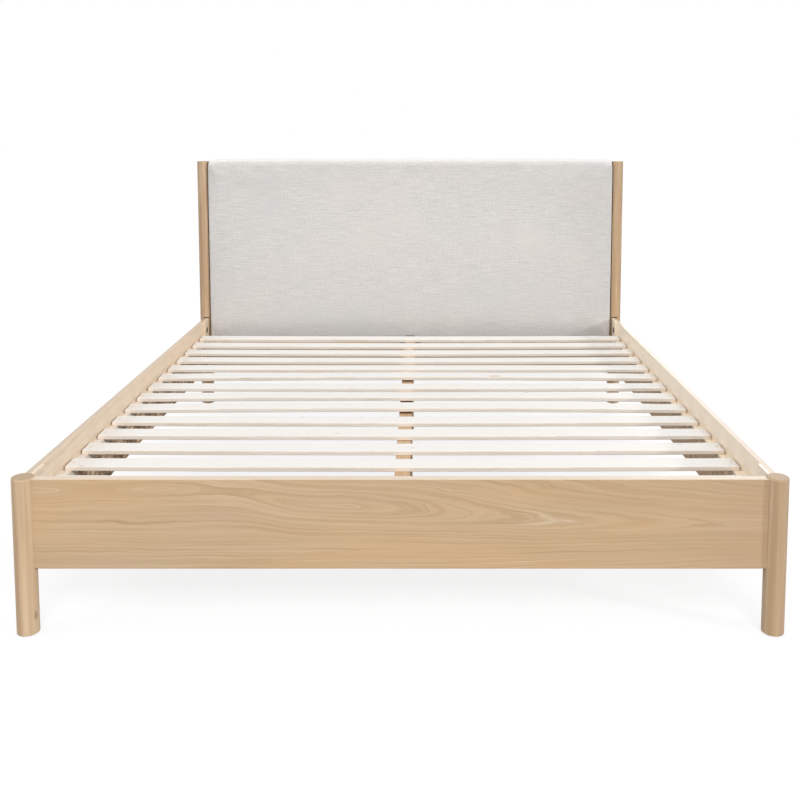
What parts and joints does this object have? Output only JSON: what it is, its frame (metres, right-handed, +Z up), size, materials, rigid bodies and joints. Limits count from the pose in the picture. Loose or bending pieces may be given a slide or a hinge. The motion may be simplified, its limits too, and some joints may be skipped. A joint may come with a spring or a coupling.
{
  "type": "platform bed",
  "caption": "Wooden slatted platform bed with round legs, a plain footboard and a padded headboard panel between round posts.",
  "frame": {"origin": "on the floor, under the middle of the whole bed", "axes": "+Y from the foot to the head, +Z up, +X to the right as seen from the foot"},
  "size_m": [2.024, 2.1664, 1.189],
  "materials": {
    "oak": "natural oak veneer, clear matt lacquer",
    "slat_wood": "planed pale softwood, unfinished",
    "block_wood": "planed pale hardwood, unfinished",
    "frame_wood": "sawn timber and plywood",
    "pad_cloth": "woven oatmeal cloth with fine crosswise slubs over foam",
    "back_cloth": "thin grey non-woven lining cloth",
    "zinc_steel": "zinc plate, bright or yellow passivated",
    "black_steel": "black powder coat or black oxide",
    "base_plastic": "moulded dark grey nylon",
    "felt": "pressed felt"
  },
  "bodies": {
    "bed": {"beam_stirrup_foot": "black_steel", "beam_stirrup_head": "black_steel", "centre_beam": "block_wood", "centre_leg_foot": "block_wood", "centre_leg_head": "block_wood", "centre_leg_middle": "block_wood", "centre_leg_studs": "zinc_steel", "footboard": "oak", "front_leg_left": "oak", "front_leg_right": "oak", "headboard_back_cloth": "back_cloth", "headboard_bottom_batten": "frame_wood", "headboard_cross_rail": "oak", "headboard_face_board": "frame_wood", "headboard_pad": "pad_cloth", "headboard_post_left": "oak", "headboard_post_right": "oak", "headboard_stile_left": "frame_wood", "headboard_stile_right": "frame_wood", "headboard_top_batten": "frame_wood", "joint_bolts": "black_steel", "joint_dowels": "frame_wood", "joint_nuts": "black_steel", "joint_washers": "black_steel", "ledge_screws": "zinc_steel", "leg_glides": "felt", "leveller_inserts": "zinc_steel", "panel_bolts": "black_steel", "panel_inserts": "zinc_steel", "rail_block_foot_left": "block_wood", "rail_block_foot_right": "block_wood", "rail_block_head_left": "block_wood", "rail_block_head_right": "block_wood", "side_rail_left": "oak", "side_rail_right": "oak", "slat_01": "slat_wood", "slat_02": "slat_wood", "slat_03": "slat_wood", "slat_04": "slat_wood", "slat_05": "slat_wood", "slat_06": "slat_wood", "slat_07": "slat_wood", "slat_08": "slat_wood", "slat_09": "slat_wood", "slat_10": "slat_wood", "slat_11": "slat_wood", "slat_12": "slat_wood", "slat_13": "slat_wood", "slat_14": "slat_wood", "slat_ledge_left": "block_wood", "slat_ledge_right": "block_wood", "slat_screws": "zinc_steel", "stirrup_screws": "zinc_steel"},
    "leveller_foot": {"leveller_stem_foot": "zinc_steel", "leveller_base_foot": "base_plastic"},
    "leveller_middle": {"leveller_stem_middle": "zinc_steel", "leveller_base_middle": "base_plastic"},
    "leveller_head": {"leveller_stem_head": "zinc_steel", "leveller_base_head": "base_plastic"}
  },
  "joints": [
    {"name": "leveller_foot_screw_out", "type": "slide", "parent": "bed", "child": "leveller_foot", "axis": [0, 0, -1], "range_m": [0, 0.012]},
    {"name": "leveller_middle_screw_out", "type": "slide", "parent": "bed", "child": "leveller_middle", "axis": [0, 0, -1], "range_m": [0, 0.012]},
    {"name": "leveller_head_screw_out", "type": "slide", "parent": "bed", "child": "leveller_head", "axis": [0, 0, -1], "range_m": [0, 0.012]}
  ]
}
